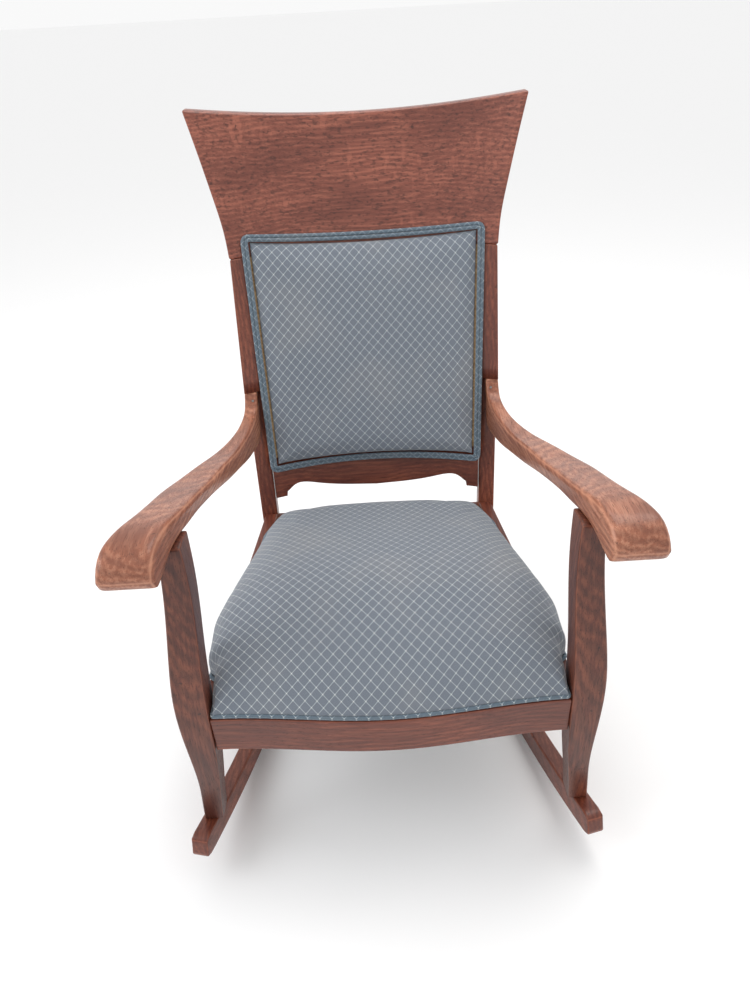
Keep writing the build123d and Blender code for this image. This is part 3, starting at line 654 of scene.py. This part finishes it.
def plump(pad, held, pressure, most):
    """Inflate a pad from inside while its held points stay, each point moving so far at most."""
    group = pad.vertex_groups.new(name="held")
    group.add(held, 1.0, "REPLACE")
    cloth = pad.modifiers.new("Cloth", "CLOTH")
    cloth.settings.vertex_group_mass = "held"
    cloth.settings.use_pressure = True
    cloth.settings.uniform_pressure_force = pressure
    cloth.settings.effector_weights.gravity = 0
    cloth.settings.quality = 6
    cloth.settings.bending_stiffness = 0.8
    cloth.point_cache.frame_start, cloth.point_cache.frame_end = 1, 20
    scene = bpy.context.scene
    for step in range(1, 21):
        scene.frame_set(step)
    depsgraph = bpy.context.evaluated_depsgraph_get()
    blown = pad.evaluated_get(depsgraph).to_mesh()
    count = len(pad.data.vertices)
    start, end = np.empty(count * 3), np.empty(count * 3)
    pad.data.vertices.foreach_get("co", start)
    blown.vertices.foreach_get("co", end)
    start, end = start.reshape(-1, 3), end.reshape(-1, 3)
    pad.evaluated_get(depsgraph).to_mesh_clear()
    travel = end - start
    far = np.linalg.norm(travel, axis=1, keepdims=True)
    most = most * MILLIMETRE
    travel *= most * np.tanh(far / most) / np.maximum(far, 1e-9)
    pad.modifiers.remove(cloth)
    pad.vertex_groups.remove(group)
    pad.data.vertices.foreach_set("co", (start + travel).ravel())
    scene.frame_set(1)


def reshape(pad, change):
    """Move each point of a pad by a function of its place in millimetres."""
    count = len(pad.data.vertices)
    spots = np.empty(count * 3)
    pad.data.vertices.foreach_get("co", spots)
    spots = spots.reshape(-1, 3) / MILLIMETRE
    x, y, z = spots[:, 0], spots[:, 1] + MIDDLE_Y, spots[:, 2]
    pad.data.vertices.foreach_set("co", stand(*change(x, y, z)).ravel())


def refine(piece):
    smooth = piece.modifiers.new("Subdivision", "SUBSURF")
    smooth.levels = smooth.render_levels = 1


# Seat: the middle line from front to back, and the shape of a cross-section
PAD_BASE = RAIL_TOP + 2.0
seat_middle = evenly(
    [(-17, 337), (-17, 346), (-10, 358), (6, 376), (33, 398), (67, 420), (105, 436), (170, 445),
     (240, 437), (350, 413),
     (450, 394), (482, 387), (500, 374), (509, 356), (511, 337)], 76,
)
seat_across = evenly(
    [(1.0, 0.0), (1.0, 0.2), (0.985, 0.43), (0.94, 0.64), (0.86, 0.79), (0.68, 0.91), (0.35, 0.98),
     (0.0, 1.0)], 36
)
seat_across = np.vstack([seat_across * (-1, 1), seat_across[-2::-1]])


def seat_half(y):
    """Half the seat pad's width: between the legs, then behind them and tapering to the back."""
    taper = np.interp(y, [84, 154, 231, 322, 437, 512], [281, 282, 266, 248, 226, 202])
    return between(266.0, taper, ease(60, 84, y))



def seat_grid():
    y, height = seat_middle[:, 0][:, None], seat_middle[:, 1][:, None] - PAD_BASE
    share, rise = seat_across[:, 0][None, :], seat_across[:, 1][None, :]
    rise = rise ** between(0.28, 1.0, ease(-10, 130, y))
    x = share * seat_half(y[:, 0])[:, None]
    straighten = SEAT_BOW * 0.5 * (1 - np.cos(np.pi * np.clip(x / HALF_FRONT, -1, 1))) * (1 - ease(0, 140, y))
    return stand(x, y + straighten, PAD_BASE + height * rise)


def flat_base(spots):
    return spots


seat_pad, seat_held = padded_form(
    "seat_pad", seat_grid(), flat_base, pad_cloth, "lattice_fabric",
    ["seat_cover", "seat_batting", "seat_stuffing"],
)
plump(seat_pad, seat_held, 4.0, 7.0)


def clear_of_legs(x, y, z):
    """Keep the pad's front corners between the legs."""
    neck = between(268.5, 286.0, ease(60, 82, y))
    return np.clip(x, -neck, neck), np.maximum(y, -18.6), z


reshape(seat_pad, clear_of_legs)
refine(seat_pad)

# Back panel: its border line in front view, and how proud it stands of the hollow frame
PANEL_INSET = 13.0
PANEL_CROWN = 27.5
CROWN_RADIUS = 1160.0
PANEL_EDGE = 15.0


def panel_half(z):
    return between(PANEL_FOOT_HALF, PANEL_HEAD_HALF, (z - PANEL_FOOT) / (PANEL_HEAD - PANEL_FOOT))


def panel_point(share, up, inset=0.0):
    """A point of the panel's front view, from shares of its width and height."""
    high = PANEL_HEAD + PANEL_RISE * share * share - inset
    z = between(PANEL_FOOT + inset, high, up)
    return share * (panel_half(z) - inset), z


def panel_grid(rows=92, columns=88):
    up, share = np.linspace(0, 1, rows)[:, None], np.linspace(-1, 1, columns + 1)[None, :]
    up, share = np.broadcast_arrays((1 - np.cos(np.pi * up)) * 0.15 + up * 0.7, share)
    share = 0.7 * share + 0.3 * np.sin(np.pi / 2 * share)
    x, z = panel_point(share, up, PANEL_INSET)
    high = PANEL_HEAD - PANEL_INSET + PANEL_RISE * share * share
    from_side = panel_half(z) - PANEL_INSET - np.abs(x)
    border = np.minimum(np.minimum(from_side, z - PANEL_FOOT - PANEL_INSET), high - z)
    swell = np.sqrt(1 - (1 - np.clip(border / PANEL_EDGE, 0, 1)) ** 2)
    crown = BACK_FOOT - PANEL_CROWN - CROWN_RADIUS + np.sqrt(CROWN_RADIUS ** 2 - x * x) + LEAN * z
    wood = back_face(x, z) - 0.6
    return stand(x, between(wood, np.minimum(crown + 3.0, wood), swell), z)


def hollow_base(spots):
    """The same points laid on the hollow face of the back."""
    x, z = spots[:, 0] / MILLIMETRE, spots[:, 2] / MILLIMETRE
    return stand(x, back_face(x, z) - 0.4, z)


back_pad, back_held = padded_form(
    "back_pad", panel_grid(), hollow_base, pad_cloth, "lattice_fabric", ["back_cover", "back_stuffing"]
)
plump(back_pad, back_held, 4.0, 5.0)
CREASES = [(-42.0, 5.0, 1.1), (-12.0, 4.0, 1.7), (9.0, 5.0, 1.4), (38.0, 6.0, 1.0), (66.0, 5.0, 0.6)]


def creased(x, y, z):
    """Soft upright creases where the cover hangs slack in the upper middle of the panel."""
    span = ease(560, 720, z) * (1 - ease(800, 832, z))
    for middle, wide, deep in CREASES:
        drift = middle + 0.03 * (z - 700.0)
        y = y + deep * span * np.exp(-((x - drift) / wide) ** 2)
    return x, y, z


reshape(back_pad, creased)
refine(back_pad)


# ---------------------------------------------------------------- welts and springs


class Shaping:
    """A geometry node tree with named inputs."""

    def __init__(self, name, **sizes):
        self.tree = bpy.data.node_groups.new(name, "GeometryNodeTree")
        self.sizes = sizes
        self.sockets = {}
        self.tree.interface.new_socket("Geometry", in_out="OUTPUT", socket_type="NodeSocketGeometry")
        self.tree.interface.new_socket("Geometry", in_out="INPUT", socket_type="NodeSocketGeometry")
        for label, value in sizes.items():
            kind = "NodeSocketMaterial" if isinstance(value, bpy.types.Material) else "NodeSocketFloat"
            item = self.tree.interface.new_socket(label, in_out="INPUT", socket_type=kind)
            self.sockets[label] = item.identifier
        self.given = self.tree.nodes.new("NodeGroupInput")

    def size(self, label):
        return self.given.outputs[label]

    def node(self, kind, settings=None, sockets=None):
        made = self.tree.nodes.new(kind)
        for key, value in (settings or {}).items():
            setattr(made, key, value)
        for key, value in (sockets or {}).items():
            if isinstance(value, bpy.types.NodeSocket):
                self.tree.links.new(value, made.inputs[key])
            else:
                made.inputs[key].default_value = value
        return made

    def maths(self, operation, *values):
        return self.node("ShaderNodeMath", {"operation": operation}, dict(enumerate(values))).outputs[0]

    def close(self, geometry):
        """End the tree with real geometry in its finish."""
        real = self.node("GeometryNodeRealizeInstances", None, {0: geometry})
        finish = {0: real.outputs[0], "Material": self.size("Finish")}
        coated = self.node("GeometryNodeSetMaterial", None, finish)
        output = self.tree.nodes.new("NodeGroupOutput")
        self.tree.links.new(coated.outputs[0], output.inputs[0])

    def make(self, name, base, slot, nodes):
        """Run the tree on a base object and keep the result as a plain piece."""
        holder = bpy.data.objects.new(name + "_base", base)
        bpy.context.scene.collection.objects.link(holder)
        modifier = holder.modifiers.new("Shaping", "NODES")
        modifier.node_group = self.tree
        for label, value in self.sizes.items():
            modifier[self.sockets[label]] = value
        depsgraph = bpy.context.evaluated_depsgraph_get()
        mesh = bpy.data.meshes.new_from_object(holder.evaluated_get(depsgraph))
        mesh.name = name
        bpy.data.objects.remove(holder)
        mesh.polygons.foreach_set("use_smooth", [True] * len(mesh.polygons))
        piece = bpy.data.objects.new(name, mesh)
        bpy.context.scene.collection.objects.link(piece)
        return belongs(piece, nodes)


def cord_tree():
    """A cloth-covered cord along a path, puckered a little where its seam pulls."""
    sizes = {
        "Cord Radius": WELT_RADIUS * MILLIMETRE,
        "Pucker Pitch": 0.006,
        "Pucker Depth": 0.0001,
        "Finish": welt_cloth,
    }
    shaping = Shaping("corded_edge", **sizes)
    path = shaping.node(
        "GeometryNodeResampleCurve", {"mode": "LENGTH"}, {0: shaping.given.outputs[0], "Length": 0.0016}
    )
    parameter = shaping.node("GeometryNodeSplineParameter")
    store = "GeometryNodeStoreNamedAttribute"
    kind = {"data_type": "FLOAT", "domain": "POINT"}
    path = shaping.node(
        store, kind, {0: path.outputs[0], "Name": "along", "Value": parameter.outputs["Length"]}
    )
    circle = shaping.node("GeometryNodeCurvePrimitiveCircle", None, {"Resolution": 14})
    shaping.tree.links.new(shaping.size("Cord Radius"), circle.inputs["Radius"])
    circle = shaping.node(
        store, kind, {0: circle.outputs[0], "Name": "round", "Value": parameter.outputs["Length"]}
    )
    cord = shaping.node("GeometryNodeCurveToMesh", None, {0: path.outputs[0], 1: circle.outputs[0]})
    read, number = "GeometryNodeInputNamedAttribute", {"data_type": "FLOAT"}
    along = shaping.node(read, number, {"Name": "along"}).outputs[0]
    around = shaping.node(read, number, {"Name": "round"}).outputs[0]
    whole_turns = shaping.maths("MULTIPLY", along, 2 * math.pi)
    turn = shaping.maths("DIVIDE", whole_turns, shaping.size("Pucker Pitch"))
    pucker = shaping.maths("MULTIPLY", shaping.maths("SINE", turn), shaping.size("Pucker Depth"))
    normal = shaping.node("GeometryNodeInputNormal").outputs[0]
    push = shaping.node("ShaderNodeVectorMath", {"operation": "SCALE"}, {0: normal, "Scale": pucker})
    cord = shaping.node("GeometryNodeSetPosition", None, {0: cord.outputs[0], "Offset": push.outputs[0]})
    cloth = shaping.node("ShaderNodeCombineXYZ", None, {0: along, 1: around})
    cord = shaping.node(
        store, {"data_type": "FLOAT_VECTOR", "domain": "POINT"},
        {0: cord.outputs[0], "Name": "cloth", "Value": cloth.outputs[0]},
    )
    shaping.close(cord.outputs[0])
    return shaping


def path_curve(name, loops):
    """Closed poly splines through points in metres."""
    curve = bpy.data.curves.new(name, "CURVE")
    curve.dimensions = "3D"
    for loop in loops:
        spline = curve.splines.new("POLY")
        spline.points.add(len(loop) - 1)
        spline.points.foreach_set("co", np.hstack([loop, np.ones((len(loop), 1))]).ravel())
        spline.use_cyclic_u = True
    return curve


def rounded_loop(corners, radius):
    """A closed plan line with rounded corners, in fine steps."""
    corners = [np.array(corner, float) for corner in corners]
    line = []
    for i, corner in enumerate(corners):
        before, after = corners[i - 1], corners[(i + 1) % len(corners)]
        start = corner + (before - corner) * radius / np.linalg.norm(before - corner)
        end = corner + (after - corner) * radius / np.linalg.norm(after - corner)
        for t in np.linspace(0, 1, 9):
            line.append((1 - t) ** 2 * start + 2 * t * (1 - t) * corner + t * t * end)
        stop = after + (corner - after) * radius / np.linalg.norm(corner - after)
        for t in np.linspace(0, 1, 42)[1:-1]:
            line.append(between(end, stop, t))
    return np.array(line)


def panel_welt(inset, proud):
    """The line of one cord round the back panel, with rounded corners."""
    width, height = 2 * (218.0 - inset), PANEL_HEAD - PANEL_FOOT - 2 * inset
    loop = rounded_loop([(0, 0), (width, 0), (width, height), (0, height)], 17.0 - inset)
    share, up = 2 * loop[:, 0] / width - 1, loop[:, 1] / height
    x, z = panel_point(share, up, inset)
    return stand(x, back_face(x, z) - proud, z)


cords = cord_tree()
panel_loops = [panel_welt(WELT_RADIUS + 0.4, 4.2), panel_welt(3 * WELT_RADIUS - 0.1, 6.0)]
cords.make("panel_welt", path_curve("panel_welt", panel_loops), "welt_cord", ["back_welt"])

seat_corners = [
    (270, 0), (268, 70), (284, 84), (228, 452), (203, 511),
    (-203, 511), (-228, 452), (-284, 84), (-268, 70), (-270, 0),
]
seat_line = rounded_loop(seat_corners, 4.0)
seat_x, seat_y = seat_line[:, 0] * (1 - WELT_RADIUS / 270), seat_line[:, 1]
front_part = 1 - ease(0, 20, seat_y)
seat_y = seat_y - front_part * SEAT_BOW / 2 * (1 + np.cos(np.pi * np.clip(seat_x / HALF_FRONT, -1, 1)))
seat_y = np.clip(seat_y + WELT_RADIUS * front_part + 1.5, None, 511 - WELT_RADIUS)
seat_loop = stand(seat_x, seat_y, np.full(len(seat_x), RAIL_TOP + WELT_RADIUS + 0.2))
cords.make("seat_edge_welt", path_curve("seat_welt", [seat_loop]), "welt_cord", ["seat_welt"])


def spring_tree():
    """Coil springs standing on a set of points."""
    shaping = Shaping("coil_springs", **{
        "Coil Radius": 0.038,
        "Wire Radius": 0.0018,
        "Height": 0.1025,
        "Turns": 4.5,
        "Finish": SLOT_FINISH["steel"],
    })
    spiral = shaping.node("GeometryNodeCurveSpiral", None, {"Resolution": 30})
    shaping.tree.links.new(shaping.size("Turns"), spiral.inputs["Rotations"])
    shaping.tree.links.new(shaping.size("Coil Radius"), spiral.inputs["Start Radius"])
    shaping.tree.links.new(shaping.size("Coil Radius"), spiral.inputs["End Radius"])
    shaping.tree.links.new(shaping.size("Height"), spiral.inputs["Height"])
    wire = shaping.node("GeometryNodeCurvePrimitiveCircle", None, {"Resolution": 8})
    shaping.tree.links.new(shaping.size("Wire Radius"), wire.inputs["Radius"])
    coil = shaping.node(
        "GeometryNodeCurveToMesh", None, {0: spiral.outputs[0], 1: wire.outputs[0], "Fill Caps": True}
    )
    rows = shaping.node(
        "GeometryNodeInstanceOnPoints", None, {0: shaping.given.outputs[0], "Instance": coil.outputs[0]}
    )
    shaping.close(rows.outputs[0])
    return shaping


spring_spots = [
    stand(column * step, y, 270.0) for y, step in ((115.0, 150.0), (260.0, 135.0), (405.0, 112.0))
    for column in (-1, 0, 1)
]
spring_feet = bpy.data.meshes.new("spring_feet")
spring_feet.from_pydata([tuple(spot) for spot in spring_spots], [], [])
spring_tree().make("coil_springs", spring_feet, "steel", ["seat_springs"])


# ---------------------------------------------------------------- stretched cloths

BACK_CLOTH_LOW, BACK_CLOTH_HIGH = 454.0, 822.0


def outside_back(across, up, behind):
    z = between(BACK_CLOTH_LOW, BACK_CLOTH_HIGH, up)
    half = np.interp(z, [452, ARM_JOINT, CREST_JOINT], [211.5, 216.0, 216.0])
    x = (2 * across - 1) * half
    return x, back_face(x, z, between(19.3, 20.7, behind)), z


back_cloth = block(
    "outside_back_cloth", (438, 385, 1.4), (44, 38, 1), 0.5, outside_back, pad_cloth, "lattice_fabric",
    ["outside_back_cover"],
)


def under_cloth(across, back, up):
    y = between(6.0, 528.0, back)
    half = between(267.0, 204.0, back)
    return (2 * across - 1) * half, y, between(262.8, 264.0, up)


bottom_cloth = block(
    "bottom_cloth", (534, 522, 1.2), (30, 30, 1), 0.5, under_cloth, cambric, "dust_cloth", ["dust_cover"]
)


# ---------------------------------------------------------------- floor, light and camera


def studio_floor():
    finish = Finish("pale_floor", Roughness=0.9, Specular_IOR_Level=0.1)
    place = finish.node("ShaderNodeTexCoord", out="Object")
    finish.surface(finish.blend(finish.noise(place, 3.0) * 0.02, (0.95, 0.95, 0.95, 1), (0.9, 0.9, 0.9, 1)))
    mesh = bpy.data.meshes.new("studio_floor")
    reach = 80.0
    corners = [(-reach, -reach, 0), (reach, -reach, 0), (reach, reach, 0), (-reach, reach, 0)]
    mesh.from_pydata(corners, [], [(0, 1, 2, 3)])
    mesh.materials.append(finish.material)
    floor = bpy.data.objects.new("studio_floor", mesh)
    bpy.context.scene.collection.objects.link(floor)


def lamp(name, place, target, size, power, colour):
    light = bpy.data.lights.new(name, "AREA")
    light.size, light.energy, light.color = size, power, colour
    stand_in = bpy.data.objects.new(name, light)
    stand_in.location = place
    stand_in.rotation_euler = (Vector(target) - Vector(place)).to_track_quat("-Z", "Y").to_euler()
    bpy.context.scene.collection.objects.link(stand_in)


studio_floor()
world = bpy.data.worlds.new("soft_room")
world.use_nodes = True
world.node_tree.nodes["Background"].inputs["Color"].default_value = (1.0, 1.0, 1.0, 1.0)
world.node_tree.nodes["Background"].inputs["Strength"].default_value = 0.95
bpy.context.scene.world = world
lamp("window_above", (0.5, 0.6, 2.7), (0.0, 0.0, 0.6), 1.6, 26.0, (1.0, 0.98, 0.96))
lamp("window_left", (-2.0, -0.6, 1.8), (0.0, 0.0, 0.5), 1.4, 18.0, (0.94, 0.97, 1.0))
bpy.context.scene.view_settings.view_transform = "Standard"

camera = bpy.data.objects.new("camera", bpy.data.cameras.new("camera"))
camera.data.lens, camera.data.sensor_width, camera.data.sensor_fit = 27.04, 36.0, "AUTO"
camera.data.dof.use_dof = False
camera.location = (-0.0055, -0.75 - MIDDLE_Y * MILLIMETRE, 1.220)
turned = Matrix.Rotation(math.radians(56.0), 3, "X") @ Matrix.Rotation(math.radians(-3.3), 3, "Z")
camera.rotation_euler = turned.to_euler()
bpy.context.scene.collection.objects.link(camera)
bpy.context.scene.camera = camera
